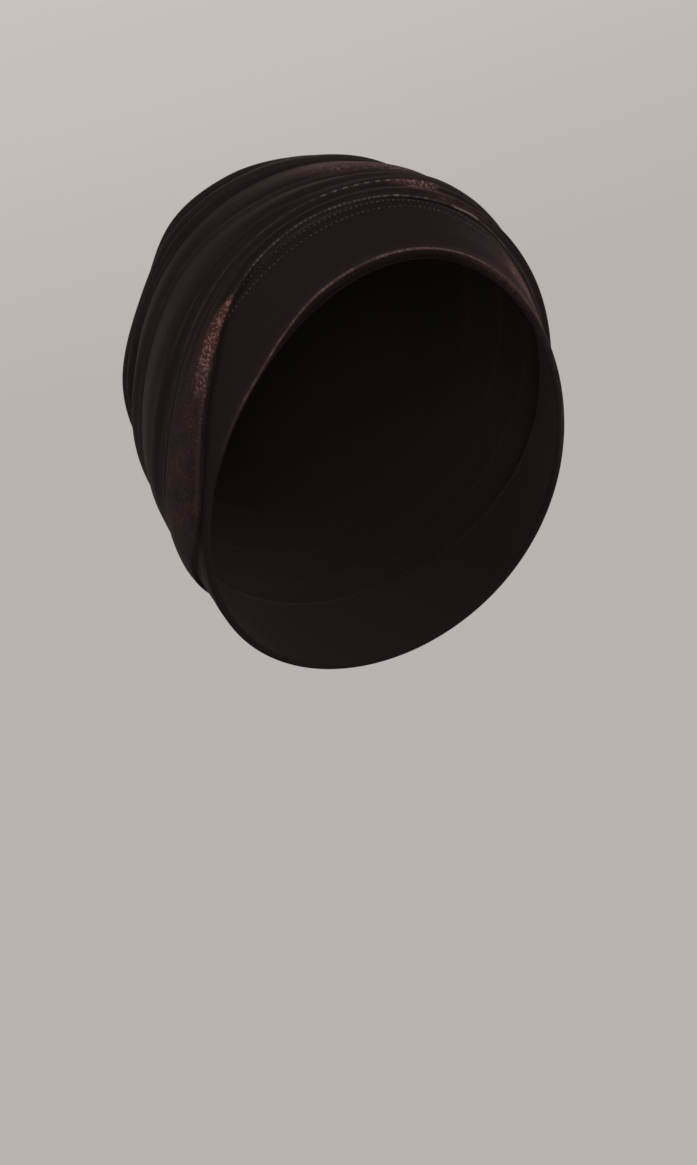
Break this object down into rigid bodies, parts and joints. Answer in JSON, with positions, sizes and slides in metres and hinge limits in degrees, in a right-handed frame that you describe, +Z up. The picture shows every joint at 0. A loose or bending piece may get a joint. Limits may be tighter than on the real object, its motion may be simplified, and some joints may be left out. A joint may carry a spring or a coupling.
{
  "type": "slouchy beanie",
  "caption": "Soft stretch-velvet beanie in its worn shape: a smooth doubled band round the face and nape under a deep crown in soft pleats.",
  "frame": {"origin": "centre of the rim, where the head's own outline passes through the hat", "axes": "+Z up with the head upright, -Y out of the brow, +X to the wearer's left; the rim slopes down from the brow to the nape"},
  "size_m": [0.1732, 0.1997, 0.1972],
  "materials": {
    "band_velvet": "dark brown stretch velvet, short pile",
    "crown_velvet": "dark brown stretch velvet, short pile"
  },
  "bodies": {
    "root": {"band": "band_velvet", "crown": "crown_velvet"}
  },
  "joints": []
}
